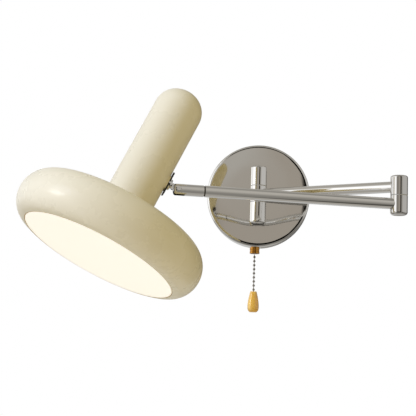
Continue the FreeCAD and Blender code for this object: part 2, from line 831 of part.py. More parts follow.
def on_stem(shape):
    # from the neck's frame to the head's: X runs the other way and the stem is high
    turned_back = FreeCAD.Placement(V(head_tube_radius + stem_reach, 0, stem_height),
                                    FreeCAD.Rotation(UP, 180))
    return placed(placed(shape, turned_back), head_frame)


def make_flange_washer():
    # long and narrow, with a seat that the collar sinks into
    disc = tube(flange_radius, stem_radius + seat_clearance, flange_thickness,
                V(flange_start, 0, 0), X)
    rim = [e for e in disc.Edges if e.Curve.TypeId == "Part::GeomCircle"
           and e.Curve.Radius > collar_radius and e.Curve.Center.x < flange_start + seat_clearance]
    disc = disc.makeFillet(flange_thickness / 2, rim)
    disc = disc.common(block(4 * flange_thickness, flange_width, 2 * flange_radius + overrun,
                             V(flange_start, 0, 0)))
    disc = disc.cut(rod(collar_radius + seat_clearance, collar_sink + overrun,
                        V(flange_start - overrun, 0, 0), X))
    return on_stem(disc)


def make_saddle_pad():
    start = flange_start + flange_thickness
    pad = tube(saddle_pad_radius, stem_radius + body_gap, head_tube_radius / 2, V(start, 0, 0), X)
    tube_body = rod(head_tube_radius + seat_clearance, 2 * saddle_pad_radius + 2 * overrun,
                    V(stem_reach + head_tube_radius, 0, -saddle_pad_radius - overrun))
    return on_stem(pad.cut(tube_body))


def make_inner_saddle():
    flat = inner_face + inner_saddle_thickness
    # seats in the tube's bore, flat towards the nut
    pad = tube(inner_saddle_radius, stem_radius + body_gap, inner_saddle_thickness + head_tube_radius / 2,
               V(flat - head_tube_radius / 2, 0, 0), X)
    bore = rod(head_tube_radius - head_wall - seat_clearance, 2 * inner_saddle_radius + 2 * overrun,
               V(stem_reach + head_tube_radius, 0, -inner_saddle_radius - overrun))
    flat_side = Part.makeBox(head_tube_radius, 3 * inner_saddle_radius, 3 * inner_saddle_radius,
                             V(flat - head_tube_radius, -1.5 * inner_saddle_radius,
                               -1.5 * inner_saddle_radius))
    return on_stem(pad.common(bore).common(flat_side))


def make_diffuser():
    outer = rod(diffuser_radius, diffuser_skirt)
    outer = outer.makeFillet(diffuser_edge_round, circle_edges(outer, diffuser_radius, 0))
    hollow = rod(diffuser_radius - diffuser_skirt_wall, diffuser_skirt, V(0, 0, diffuser_thickness))
    return placed(outer.cut(hollow), head_frame)


def make_trim_ring():
    ring = tube(diffuser_radius + seat_clearance + trim_ring_width, diffuser_radius + seat_clearance,
                trim_ring_height, V(0, 0, diffuser_edge_round / 4))
    return placed(ring, head_frame)


def around(count, radius, first=0.0):
    for i in range(count):
        c, s = turned(first + 360.0 * i / count)
        yield V(radius * c, radius * s, 0), first + 360.0 * i / count


def make_mounting_plate():
    plate = rod(plate_radius, plate_thickness, V(0, 0, plate_height))
    for place, turn in around(post_count, post_circle_radius):
        plate = plate.cut(rod(plate_screw_radius + seat_clearance, 3 * plate_thickness,
                              place + UP * (plate_height - plate_thickness)))
    for place in board_lead_places():
        plate = plate.cut(rod(lead_radius + body_gap, 3 * plate_thickness,
                              place + UP * (plate_height - plate_thickness)))
    return placed(plate, head_frame)


def make_posts():
    start = driver_foot
    top = ceiling(post_circle_radius + post_radius) - seat_clearance
    depth = plate_screw_length - plate_thickness + 2 * overrun
    posts = []
    for place, turn in around(post_count, post_circle_radius):
        post = rod(post_radius, top - start, place + UP * start)
        post = post.cut(rod(plate_screw_radius + seat_clearance, depth, place + UP * (start - overrun)))
        posts.append(placed(post, head_frame))
    return posts


def make_plate_screws():
    screws = []
    for place, turn in around(post_count, post_circle_radius):
        head = rod(plate_screw_head_radius, plate_screw_head_height,
                   place + UP * (plate_height - plate_screw_head_height))
        head = head.makeFillet(plate_screw_head_height / 3,
                               circle_edges(head, plate_screw_head_radius,
                                            plate_height - plate_screw_head_height))
        shank = rod(plate_screw_radius, plate_screw_length, place + UP * plate_height)
        screws.append(placed(head.fuse(shank), head_frame))
    return screws


def make_board():
    board = rod(board_radius, board_thickness, V(0, 0, board_foot))
    for place, turn in around(post_count, post_circle_radius):
        board = board.cut(rod(board_hole_radius, 3 * board_thickness,
                              place + UP * (board_foot - board_thickness)))
    for place in board_lead_places():
        board = board.cut(rod(lead_radius + seat_clearance, 3 * board_thickness,
                              place + UP * (board_foot - board_thickness)))
    return placed(board, head_frame)


def make_chips():
    level = board_foot - chip_thickness / 2
    clear = board_hole_radius + chip_length
    screws = [place for place, turn in around(post_count, post_circle_radius)]
    chips = []
    for radius, count in zip(chip_circle_radii, chip_counts):
        for place, turn in around(count, radius, 180.0 / count):
            if min(place.distanceToPoint(screw) for screw in screws) < clear:
                continue
            chip = block(chip_length, chip_width, chip_thickness, ORIGIN)
            chip.Placement = FreeCAD.Placement(place + UP * level, FreeCAD.Rotation(UP, turn))
            chips.append(placed(chip, head_frame))
    return chips


def board_lead_places():
    return [V(driver_length / 2 + board_lead_reach, side * board_lead_offset, 0) for side in (1, -1)]


def make_driver():
    case = block(driver_length, driver_width, driver_height, V(0, 0, driver_foot + driver_height / 2))
    upright = [e for e in case.Edges if abs(e.Vertexes[0].Z - e.Vertexes[1].Z) > overrun]
    case = case.makeFillet(driver_round, upright)
    case = case.cut(rod(cable_radius + seat_clearance, lead_seat + overrun,
                        V(head_lead_offset, 0, driver_foot + driver_height - lead_seat)))
    for place in board_lead_places():
        end = V(driver_length / 2 - lead_seat, place.y, driver_foot + board_lead_height)
        case = case.cut(rod(lead_radius + seat_clearance, lead_seat + overrun, end, X))
    return placed(case, head_frame)


def make_head_lead():
    # from the stem's bore down to the driver
    return placed(lead(cable_radius, head_lead_bend, [
        V(head_tube_radius, 0, stem_height),
        V(head_lead_offset, 0, stem_height),
        V(head_lead_offset, 0, driver_foot + driver_height - lead_seat),
    ]), head_frame)


def make_board_leads():
    # from the driver's end down through the plate to the board
    leads = []
    for place in board_lead_places():
        exit_level = UP * (driver_foot + board_lead_height)
        leads.append(placed(lead(lead_radius, lead_bend, [
            place - X * (board_lead_reach + lead_seat) + exit_level,
            place + exit_level,
            place + UP * board_foot,
        ]), head_frame))
    return leads


def terminal_places():
    pitch = terminal_length / terminal_ways
    first = terminal_offset - terminal_length / 2 + pitch / 2
    return [first + pitch * i for i in range(terminal_ways)]


def make_terminal_block():
    body = block(terminal_length, terminal_width, terminal_height,
                 V(terminal_offset, 0, bracket_thickness + terminal_height / 2))
    for x in terminal_places():
        body = body.cut(rod(terminal_hole_radius, terminal_width + 2 * overrun,
                            V(x, -terminal_width / 2 - overrun, terminal_level), Y))
        body = body.cut(rod(terminal_screw_radius + seat_clearance, terminal_height,
                            V(x, 0, terminal_level)))
    return placed(body, wall_frame)


def make_terminal_screws():
    top = bracket_thickness + terminal_height - driver_slot_depth
    foot = terminal_level + lead_radius + seat_clearance
    screws = []
    for x in terminal_places():
        screw = rod(terminal_screw_radius, top - foot, V(x, 0, foot))
        recess = block(2 * terminal_screw_radius, driver_slot_width, 2 * driver_slot_depth, V(x, 0, top))
        screws.append(placed(screw.cut(recess), wall_frame))
    return screws


def terminal_end(x, side):
    # a lead's straight run into the terminal block, to under the screw
    return [V(x, side * (terminal_width / 2 + lead_run_in), terminal_level),
            V(x, side * body_gap, terminal_level)]


def make_lamp_leads():
    # the lamp's two cores, from the upper nipple to the terminal block
    leads = []
    for side, x in zip((-1, 1), terminal_places()):
        place = V(side * lamp_lead_offset, nipple_heights[0], 0)
        leads.append(placed(lead(lead_radius, lead_bend, [
            place + UP * backing_face, place + UP * lamp_lead_turn] + terminal_end(x, 1)), wall_frame))
    return leads


def make_switch_leads():
    # from the switch's top up to the terminal block
    top = case_foot + switch_height
    leads = []
    for side, x in zip((-1, 1), terminal_places()[1:]):
        place = V(switch_offset + side * switch_lead_offset, top, -switch_y)
        leads.append(placed(lead(lead_radius, lead_bend, [
            place - Y * lead_seat, place + Y * switch_lead_rise] + terminal_end(x, -1)), wall_frame))
    return leads


# Heights in the pull switch, measured down from the lamp's axis
lock_nut_reach = abs(switch_offset) + switch_nut_flats / math.sqrt(3)
lock_nut_foot = body_gap / 3 - math.sqrt((canopy_radius - canopy_wall) ** 2 - lock_nut_reach ** 2)
case_foot = lock_nut_foot + switch_nut_height
bush_foot = canopy_foot - ring_nut_height + ring_nut_mouth_depth
plunger_seat = case_foot + switch_case_wall + plunger_travel + spring_solid
plunger_foot = top_bead_z + bead_radius + body_gap


def make_switch_case():
    centre = switch_axis + UP * (case_foot + switch_height / 2)
    case = block(switch_width, switch_depth, switch_height, centre)
    upright = [e for e in case.Edges if abs(e.Vertexes[0].Z - e.Vertexes[1].Z) > overrun]
    case = case.makeFillet(switch_round, upright)
    chamber = rod(plunger_head_radius + body_gap, switch_height - 2 * switch_case_wall,
                  switch_axis + UP * (case_foot + switch_case_wall))
    way_out = rod(bush_bore, switch_height, switch_axis + UP * (case_foot - overrun))
    case = case.cut(chamber).cut(way_out)
    for side in (1, -1):
        case = case.cut(rod(lead_radius + seat_clearance, lead_seat + overrun,
                            switch_axis + X * side * switch_lead_offset
                            + UP * (case_foot + switch_height - lead_seat)))
    return case


def make_switch_bush():
    top = case_foot
    return tube(bush_radius, bush_bore, top - bush_foot, switch_axis + UP * bush_foot)


def make_switch_nut():
    return nut(switch_nut_flats, bush_radius + seat_clearance, switch_nut_height,
               switch_axis + UP * lock_nut_foot)


def make_ring_nut():
    # a turned brass nut with a waist between two collars
    top = -canopy_radius - seat_clearance
    foot = top - ring_nut_height
    bore = bush_radius + seat_clearance
    waist = ring_nut_radius - ring_nut_waist
    points = [(bore, top), (ring_nut_radius, top), (ring_nut_radius, top - ring_nut_collar),
              (waist, top - ring_nut_collar - ring_nut_waist),
              (waist, foot + ring_nut_collar + ring_nut_waist),
              (ring_nut_radius, foot + ring_nut_collar), (ring_nut_radius, foot + ring_nut_waist),
              (ring_nut_radius - ring_nut_waist, foot), (ring_nut_mouth_radius, foot),
              (ring_nut_mouth_radius, bush_foot - face_gap), (bore, bush_foot - face_gap)]
    ring = revolved([line(a, b) for a, b in zip(points, points[1:] + points[:1])])
    return placed(ring, FreeCAD.Placement(switch_axis, FreeCAD.Rotation()))


def make_plunger():
    shaft = rod(plunger_radius, plunger_seat - plunger_foot, switch_axis + UP * plunger_foot)
    head = rod(plunger_head_radius, plunger_head_height, switch_axis + UP * plunger_seat)
    return head.fuse(shaft)


def half_biarc(start, corner_point, end):
    # an arc that leaves towards the corner point and ends at the same distance from it
    chord = (start + end) / 2
    leg = (corner_point - start).Length
    half = math.acos((corner_point - chord).Length / leg)
    turn = math.pi / 2 - half
    share = math.cos(turn) / (1 + math.cos(turn))
    return Part.Arc(start, chord + (corner_point - chord) * share, end).toShape()


def biarc(a, way_a, b, way_b):
    # two arcs in a row that meet a curve's ends along its directions
    v = b - a
    both = way_a + way_b
    k = 2 * (1 - way_a.dot(way_b))
    leg = (math.sqrt(v.dot(both) ** 2 + k * v.dot(v)) - v.dot(both)) / k
    near = a + way_a * leg
    far = b - way_b * leg
    joint = (near + far) / 2
    return [half_biarc(a, near, joint), half_biarc(joint, far, b)]


def make_switch_spring():
    # a coil from the chamber's floor to the plunger's head, two arcs to a quarter turn
    low = case_foot + switch_case_wall + spring_wire_radius + seat_clearance
    high = plunger_seat - spring_wire_radius - seat_clearance
    pitch = (high - low) / spring_turns
    rise = pitch / (2 * math.pi * spring_radius)

    def on_coil(quarter):
        c, s = turned(90 * quarter)
        way = V(-s, c, rise)
        return V(spring_radius * c, spring_radius * s, low + pitch * quarter / 4), way.normalize()

    path = []
    for quarter in range(4 * spring_turns):
        a, way_a = on_coil(quarter)
        b, way_b = on_coil(quarter + 1)
        path += biarc(a, way_a, b, way_b)
    start, way = on_coil(0)
    ring = Part.Wire(Part.makeCircle(spring_wire_radius, start, way))
    coil = Part.Wire(path).makePipeShell([ring], True, False)
    print("spring's least gap between turns", round(pitch - 2 * spring_wire_radius, 2), "mm")
    return placed(coil, FreeCAD.Placement(switch_axis, FreeCAD.Rotation()))


def bead(z):
    return Part.makeSphere(bead_radius, switch_axis + UP * z)


def make_top_bead():
    return bead(top_bead_z)


def make_chain():
    # beads on short wire links, the last one inside the knob
    last = top_bead_z - bead_count * bead_pitch
    links = rod(bead_link_radius, (bead_count - 1) * bead_pitch + bead_pitch - bead_radius - body_gap,
                switch_axis + UP * last)
    beads = [bead(top_bead_z - i * bead_pitch) for i in range(1, bead_count + 1)]
    return links.multiFuse(beads)


def make_knob():
    def at(share):
        return knob_top_z - share * knob_height
    side = Part.BSplineCurve()
    side.interpolate(Points=[V(knob_top_radius, 0, at(0)),
                             V(knob_shoulder_radius, 0, at(knob_shoulder_share)),
                             V(knob_middle_radius, 0, at(knob_middle_share)),
                             V(knob_radius, 0, at(knob_widest_share)),
                             V(knob_lower_radius, 0, at(knob_lower_share)),
                             V(knob_foot_radius, 0, at(1))])
    body = revolved([
        side.toShape(),
        line((knob_foot_radius, at(1)), (0, at(1))),
        line((0, at(1)), (0, at(0))),
        line((0, at(0)), (knob_top_radius, at(0))),
    ])
    rim = circle_edges(body, knob_top_radius, at(0))
    body = body.makeFillet(bead_link_radius, rim)
    body = body.cut(rod(bead_radius + seat_clearance, knob_bore_depth, V(0, 0, at(0) - knob_bore_depth)))
    body.Placement = FreeCAD.Placement(switch_axis, FreeCAD.Rotation())
    return body


pieces = {
    "wall_bracket": make_bracket,
    "canopy_shell": make_canopy,
    "canopy_screws": make_canopy_screws,
    "earth_screw": make_earth_screw,
    "backing_plate": make_backing_plate,
    "column_nipples": make_nipples,
    "column_nuts": make_nipple_nuts,
    "column_top": make_column_top,
    "column_base": make_column_base,
    "column_spindle": make_column_spindle,
    "column_washers": make_column_washers,
    "terminal_block": make_terminal_block,
    "terminal_screws": make_terminal_screws,
    "lamp_leads": make_lamp_leads,
    "switch_leads": make_switch_leads,
    "switch_case": make_switch_case,
    "switch_bush": make_switch_bush,
    "switch_lock_nut": make_switch_nut,
    "switch_ring_nut": make_ring_nut,
    "switch_plunger": make_plunger,
    "switch_spring": make_switch_spring,
    "chain_top_bead": make_top_bead,
    "ball_chain": make_chain,
    "pull_knob": make_knob,
    "swing_sleeve": make_sleeve,
    "arm_1_tube": make_arm_1,
    "arm_1_cable": make_arm_1_cable,
    "elbow_top": make_elbow_top,
    "elbow_spindle": make_elbow_spindle,
    "elbow_nut": make_elbow_nut,
    "elbow_washer": make_elbow_washer,
    "elbow_base": make_elbow_base,
    "elbow_cap": make_elbow_cap,
    "arm_2_tube": make_arm_2,
    "arm_2_cable": make_arm_2_cable,
    "roll_bush": make_roll_bush,
    "knuckle_fork": make_fork,
    "knuckle_ring": make_ring_seal,
    "knuckle_nut": make_knuckle_nut,
    "tilt_screw": make_tilt_screw,
    "tilt_nut": make_tilt_nut,
    "neck_stem": make_tongue,
    "neck_nut": make_neck_nut,
    "flange_washer": make_flange_washer,
    "saddle_pad": make_saddle_pad,
    "inner_saddle": make_inner_saddle,
    "head_shell": make_head_shell,
    "diffuser": make_diffuser,
    "trim_ring": make_trim_ring,
    "mounting_plate": make_mounting_plate,
    "plate_posts": make_posts,
    "plate_screws": make_plate_screws,
    "led_board": make_board,
    "led_chips": make_chips,
    "led_driver": make_driver,
    "head_lead": make_head_lead,
    "board_leads": make_board_leads,
}

os.makedirs("parts", exist_ok=True)
for name, maker in pieces.items():
    made = maker()
    shape = Part.makeCompound(made) if isinstance(made, list) else made
    valid = "ok" if shape.isValid() else "NOT VALID"
    print(name, valid, len(shape.Solids), "solids", round(shape.Volume, 1), "mm3")
    shape.exportStep("parts/" + name + ".step")
for label, point in (("column axis", column_axis), ("elbow axis", elbow_axis), ("tilt pivot", pivot),
                     ("stem way", stem_way), ("head way", head_way), ("head origin", head_origin),
                     ("top bead", switch_axis + UP * top_bead_z)):
    print(label, round(point.x, 4), round(point.y, 4), round(point.z, 4))
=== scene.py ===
import bpy
import bmesh
import json
import math
from mathutils import Matrix, Vector


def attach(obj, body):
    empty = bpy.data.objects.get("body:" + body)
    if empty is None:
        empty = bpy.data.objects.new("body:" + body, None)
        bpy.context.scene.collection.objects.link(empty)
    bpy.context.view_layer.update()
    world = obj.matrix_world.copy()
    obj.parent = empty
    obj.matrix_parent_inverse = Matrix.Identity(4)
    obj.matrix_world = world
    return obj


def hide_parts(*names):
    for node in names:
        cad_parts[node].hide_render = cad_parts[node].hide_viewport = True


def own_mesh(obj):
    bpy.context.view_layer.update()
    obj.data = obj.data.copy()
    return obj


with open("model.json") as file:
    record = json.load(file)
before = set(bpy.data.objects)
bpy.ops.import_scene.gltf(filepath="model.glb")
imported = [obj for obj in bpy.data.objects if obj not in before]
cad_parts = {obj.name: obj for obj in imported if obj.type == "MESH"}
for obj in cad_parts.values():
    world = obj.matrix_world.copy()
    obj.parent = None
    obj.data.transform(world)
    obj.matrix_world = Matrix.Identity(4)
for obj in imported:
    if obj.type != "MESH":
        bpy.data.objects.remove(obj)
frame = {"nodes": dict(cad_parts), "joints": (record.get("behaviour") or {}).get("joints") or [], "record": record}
nodes = frame["nodes"]
joints = {joint["name"]: joint for joint in frame["joints"]}
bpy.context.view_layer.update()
print("stage: frame loaded")

millimetre = 0.001


# Node helpers

def addNode(tree, kind, **values):
    node = tree.nodes.new(kind)
    for key, value in values.items():
        setattr(node, key, value)
    return node


def feed(tree, socket, value):
    # links another node's output to the socket, or sets a plain number, vector or colour on it
    if isinstance(value, bpy.types.NodeSocket):
        tree.links.new(value, socket)
    elif socket.type == "RGBA":
        socket.default_value = (*value, 1.0)
    else:
        socket.default_value = value


def newMaterial(name):
    material = bpy.data.materials.new(name)
    material.use_nodes = True
    tree = material.node_tree
    tree.nodes.clear()
    output = addNode(tree, "ShaderNodeOutputMaterial")
    shader = addNode(tree, "ShaderNodeBsdfPrincipled")
    feed(tree, output.inputs["Surface"], shader.outputs["BSDF"])
    return material, tree, shader


def onlyNode(tree, kind):
    return next(node for node in tree.nodes if node.type == kind)


def newGroup(name, inputs, outputs):
    # a group that takes and gives plain numbers, each input with its usual value
    tree = bpy.data.node_groups.new(name, "ShaderNodeTree")
    for label, value in inputs.items():
        socket = tree.interface.new_socket(label, in_out="INPUT", socket_type="NodeSocketFloat")
        socket.default_value = value
    for label in outputs:
        tree.interface.new_socket(label, in_out="OUTPUT", socket_type="NodeSocketFloat")
    return tree, addNode(tree, "NodeGroupInput").outputs, addNode(tree, "NodeGroupOutput").inputs


def useGroup(tree, group, values):
    node = addNode(tree, "ShaderNodeGroup", node_tree=group)
    for label, value in values.items():
        feed(tree, node.inputs[label], value)
    return node.outputs


def objectPlace(tree):
    return addNode(tree, "ShaderNodeTexCoord").outputs["Object"]


def stretched(tree, place, stretch):
    node = addNode(tree, "ShaderNodeMapping")
    feed(tree, node.inputs["Vector"], place)
    feed(tree, node.inputs["Scale"], stretch)
    return node.outputs["Vector"]


def noise(tree, place, scale, detail, roughness):
    node = addNode(tree, "ShaderNodeTexNoise")
    for label, value in (("Vector", place), ("Scale", scale), ("Detail", detail), ("Roughness", roughness)):
        feed(tree, node.inputs[label], value)
    return node.outputs["Fac"]


def ramp(tree, value, stops, interpolation="LINEAR"):
    node = addNode(tree, "ShaderNodeValToRGB")
    node.color_ramp.interpolation = interpolation
    elements = node.color_ramp.elements
    while len(elements) > 1:
        elements.remove(elements[0])
    for number, (place, colour) in enumerate(stops):
        element = elements[0] if number == 0 else elements.new(place)
        element.position = place
        element.color = (*colour, 1.0)
    feed(tree, node.inputs["Fac"], value)
    return node.outputs["Color"]


def greyRamp(tree, value, ends, brightest=1.0):
    return ramp(tree, value, [(ends[0], (0.0,) * 3), (ends[1], (brightest,) * 3)])


def mapRange(tree, value, source=(0.0, 1.0), result=(0.0, 1.0), smooth=False):
    kind = "SMOOTHSTEP" if smooth else "LINEAR"
    node = addNode(tree, "ShaderNodeMapRange", interpolation_type=kind)
    feed(tree, node.inputs["Value"], value)
    for label, number in zip(("From Min", "From Max", "To Min", "To Max"), (*source, *result)):
        feed(tree, node.inputs[label], number)
    return node.outputs["Result"]


def calculate(tree, operation, *values):
    node = addNode(tree, "ShaderNodeMath", operation=operation)
    for socket, value in zip(node.inputs, values):
        feed(tree, socket, value)
    return node.outputs[0]


def vectorMaths(tree, operation, *values):
    node = addNode(tree, "ShaderNodeVectorMath", operation=operation)
    for socket, value in zip(node.inputs, values):
        feed(tree, socket, value)
    return node.outputs


def mixColour(tree, factor, first, second):
    node = addNode(tree, "ShaderNodeMix", data_type="RGBA")
    feed(tree, node.inputs["Factor"], factor)
    colourInputs = [socket for socket in node.inputs if socket.type == "RGBA"]
    for socket, colour in zip(colourInputs, (first, second)):
        feed(tree, socket, colour)
    return next(socket for socket in node.outputs if socket.type == "RGBA")


def mixShader(tree, factor, first, second):
    node = addNode(tree, "ShaderNodeMixShader")
    for socket, value in zip(node.inputs, (factor, first, second)):
        feed(tree, socket, value)
    return node.outputs["Shader"]


def bump(tree, shader, height, strength, depth):
    node = addNode(tree, "ShaderNodeBump")
    for label, value in (("Strength", strength), ("Distance", depth), ("Height", height)):
        feed(tree, node.inputs[label], value)
    feed(tree, shader.inputs["Normal"], node.outputs["Normal"])


# Finishes. A noise is given as its scale per metre, its detail and its roughness.

handlingSettings = {
    "smudge": (30.0, 4.0, 0.6),
    "hairline": (900.0, 2.0, 0.7),
    "stretch": (1.0, 1.0, 0.06),
}


def makeHandlingGroup(settings):
    # faint smudges and upright hairlines of a surface that hands have wiped
    smudgeScale, *smudgeForm = settings["smudge"]
    hairlineScale, *hairlineForm = settings["hairline"]
    tree, given, made = newGroup("handling", {"Smudge Scale": smudgeScale, "Hairline Scale": hairlineScale},
                                 ("Smudge", "Hairline"))
    place = objectPlace(tree)
    upright = stretched(tree, place, settings["stretch"])
    feed(tree, made["Smudge"], noise(tree, place, given["Smudge Scale"], *smudgeForm))
    feed(tree, made["Hairline"], noise(tree, upright, given["Hairline Scale"], *hairlineForm))
    return tree


handling = makeHandlingGroup(handlingSettings)

# light is the colour under a smudge, dark is the colour between smudges, and roughness goes from
# between smudges to under one
metalFinishes = {
    "mirrorChrome": {"light": (0.86, 0.85, 0.83), "dark": (0.82, 0.81, 0.79), "roughness": (0.03, 0.07),
                     "smudgeScale": 30.0, "hairlineScale": 900.0, "hairline": 0.02},
    # shadedElbowChrome is mirrorChrome made darker: painted shade for the elbow's pieces
    "shadedElbowChrome": {"light": (0.75, 0.74, 0.72), "dark": (0.70, 0.69, 0.67), "roughness": (0.02, 0.06),
                   "smudgeScale": 30.0, "hairlineScale": 900.0, "hairline": 0.03},
    "platedSteel": {"light": (0.66, 0.65, 0.62), "dark": (0.52, 0.52, 0.51), "roughness": (0.24, 0.42),
                    "smudgeScale": 30.0, "hairlineScale": 900.0, "hairline": 0.3},
    "turnedBrass": {"light": (0.62, 0.33, 0.065), "dark": (0.44, 0.18, 0.03), "roughness": (0.06, 0.14),
                    "smudgeScale": 30.0, "hairlineScale": 900.0, "hairline": 0.12},
    "chainMetal": {"light": (0.55, 0.53, 0.49), "dark": (0.40, 0.38, 0.35), "roughness": (0.12, 0.25),
                   "smudgeScale": 30.0, "hairlineScale": 900.0, "hairline": 0.1},
}
metalFinishes["forkChromeSlotShaded"] = metalFinishes["mirrorChrome"]
hairlineDepth = 0.02 * millimetre


def makeMetal(name):
    # a plated or turned metal with smudges in its gloss and fine hairlines
    settings = metalFinishes[name]
    material, tree, shader = newMaterial(name)
    marks = useGroup(tree, handling, {"Smudge Scale": settings["smudgeScale"],
                                      "Hairline Scale": settings["hairlineScale"]})
    colour = mixColour(tree, marks["Smudge"], settings["dark"], settings["light"])
    feed(tree, shader.inputs["Base Color"], colour)
    feed(tree, shader.inputs["Metallic"], 1.0)
    feed(tree, shader.inputs["Roughness"], mapRange(tree, marks["Smudge"], result=settings["roughness"]))
    bump(tree, shader, marks["Hairline"], settings["hairline"], hairlineDepth)
    return material


forkSettings = {
    "slotWidth": 4.4 * millimetre,
    "slotDepth": 6.0 * millimetre,
    "shadeMargin": 0.6 * millimetre,
    # inside is the near-black painted shade for the slot's faces, and margin carries that painted shade onto the
    # edges round the slot
    "inside": (0.012, 0.011, 0.010),
}


def makeSlotShadedForkChrome(settings):
    # plated like the tubes outside, with a near-black painted shade on the two faces of its slot and a thin margin
    # round them
    material = makeMetal("forkChromeSlotShaded")
    tree = material.node_tree
    colourInput = onlyNode(tree, "BSDF_PRINCIPLED").inputs["Base Color"]
    plated = colourInput.links[0].from_socket
    pin, roll = joints["head_tilt"], joints["knuckle_roll"]
    fromPin = vectorMaths(tree, "SUBTRACT", objectPlace(tree), pin["pos_m"])["Vector"]
    across = vectorMaths(tree, "DOT_PRODUCT", fromPin, pin["axis"])["Value"]
    outwards = vectorMaths(tree, "DOT_PRODUCT", fromPin, roll["axis"])["Value"]
    halfSlot = settings["slotWidth"] / 2 + settings["shadeMargin"]
    slotBottom = settings["slotDepth"] + settings["shadeMargin"]
    # mask of the slot's faces and the margin round them, where the painted shade goes
    betweenSides = calculate(tree, "LESS_THAN", calculate(tree, "ABSOLUTE", across), halfSlot)
    aboveBottom = calculate(tree, "GREATER_THAN", outwards, -slotBottom)
    slotShadeMask = calculate(tree, "MULTIPLY", betweenSides, aboveBottom)
    feed(tree, colourInput, mixColour(tree, slotShadeMask, plated, settings["inside"]))
    return material


enamelSettings = {
    "light": (0.83, 0.765, 0.61),
    "dark": (0.80, 0.73, 0.575),
    "cloud": (14.0, 3.0, 0.5),
    "peel": (420.0, 2.0, 0.4),
    "peelStrength": 0.02,
    "peelDepth": 0.2 * millimetre,
    "smudgeScale": 30.0,
    "roughness": (0.24, 0.31),
}
trimSettings = {**enamelSettings, "light": (0.58, 0.43, 0.20), "dark": (0.52, 0.38, 0.17)}


def makeEnamel(name, settings):
    # stove enamel: an even colour with a faint orange peel under a satin gloss
    material, tree, shader = newMaterial(name)
    place = objectPlace(tree)
    cloud = noise(tree, place, *settings["cloud"])
    feed(tree, shader.inputs["Base Color"], mixColour(tree, cloud, settings["dark"], settings["light"]))
    peel = noise(tree, place, *settings["peel"])
    bump(tree, shader, peel, settings["peelStrength"], settings["peelDepth"])
    marks = useGroup(tree, handling, {"Smudge Scale": settings["smudgeScale"]})
    feed(tree, shader.inputs["Roughness"], mapRange(tree, marks["Smudge"], result=settings["roughness"]))
    return material


# grain is the strength of the fine surface grain
mouldedFinishes = {
    "blackNylon": {"light": (0.028, 0.027, 0.026), "dark": (0.012, 0.012, 0.012),
                   "roughness": (0.35, 0.5), "grain": 0.2},
    "greyNylon": {"light": (0.62, 0.61, 0.59), "dark": (0.56, 0.55, 0.53),
                  "roughness": (0.25, 0.35), "grain": 0.05},
    "ringNylon": {"light": (0.085, 0.075, 0.068), "dark": (0.06, 0.053, 0.048),
                  "roughness": (0.35, 0.5), "grain": 0.1},
    "whitePlastic": {"light": (0.82, 0.82, 0.79), "dark": (0.74, 0.74, 0.71),
                     "roughness": (0.4, 0.5), "grain": 0.1},
    "cableSheath": {"light": (0.74, 0.74, 0.71), "dark": (0.66, 0.66, 0.63),
                    "roughness": (0.45, 0.6), "grain": 0.1},
    "whiteAluminium": {"light": (0.86, 0.86, 0.84), "dark": (0.80, 0.80, 0.78),
                       "roughness": (0.3, 0.4), "grain": 0.05},
    "ledPhosphor": {"light": (0.95, 0.74, 0.22), "dark": (0.85, 0.62, 0.15),
                    "roughness": (0.3, 0.4), "grain": 0.05},
}
mouldedSurface = {
    "cloud": (120.0, 4.0, 0.6),
    "grain": (2600.0, 2.0, 0.6),
    "grainDepth": 0.1 * millimetre,
}


def makeMoulded(name):
    # a moulded or coated piece: slightly clouded, with a fine grain
    settings = mouldedFinishes[name]
    material, tree, shader = newMaterial(name)
    place = objectPlace(tree)
    cloud = noise(tree, place, *mouldedSurface["cloud"])
    feed(tree, shader.inputs["Base Color"], mixColour(tree, cloud, settings["dark"], settings["light"]))
    feed(tree, shader.inputs["Roughness"], mapRange(tree, cloud, result=settings["roughness"]))
    grain = noise(tree, place, *mouldedSurface["grain"])
    bump(tree, shader, grain, settings["grain"], mouldedSurface["grainDepth"])
    return material


opalSettings = {
    "body": (0.95, 0.93, 0.87),
    "glow": (1.0, 0.95, 0.88),
    "warmGlow": (1.0, 0.94, 0.85),
    "strength": 0.41,
    "cloud": (9.0, 2.0, 0.5),
    "haze": (700.0, 2.0, 0.5),
    "hazeStrength": 0.03,
    "hazeDepth": 0.05 * millimetre,
    "roughness": 0.35,
}


def makeOpal(settings):
    # opal acrylic lit from behind, its glow a little uneven
    material, tree, shader = newMaterial("opalAcrylic")
    place = objectPlace(tree)
    cloud = noise(tree, place, *settings["cloud"])
    glow = mixColour(tree, cloud, settings["warmGlow"], settings["glow"])
    feed(tree, shader.inputs["Emission Color"], glow)
    feed(tree, shader.inputs["Emission Strength"], settings["strength"])
    haze = noise(tree, place, *settings["haze"])
    feed(tree, shader.inputs["Base Color"], mixColour(tree, haze, settings["glow"], settings["body"]))
    feed(tree, shader.inputs["Roughness"], settings["roughness"])
    bump(tree, shader, haze, settings["hazeStrength"], settings["hazeDepth"])
    return material


woodSettings = {
    "light": (0.96, 0.60, 0.10),
    "dark": (0.86, 0.46, 0.045),
    "pore": (0.70, 0.36, 0.03),
    "stretch": (1.0, 1.0, 0.05),
    "rings": (190.0, 2.0, 0.4),
    "ringEdges": (0.38, 0.62),
    "pores": (2400.0, 3.0, 0.6),
    "poreEdges": (0.66, 0.82),
    "poreStrength": 0.22,
    "roughness": 0.42,
    "varnishRoughness": 0.14,
    "varnishIor": 1.9,
    "grainStrength": 0.01,
    "grainDepth": 0.05 * millimetre,
}


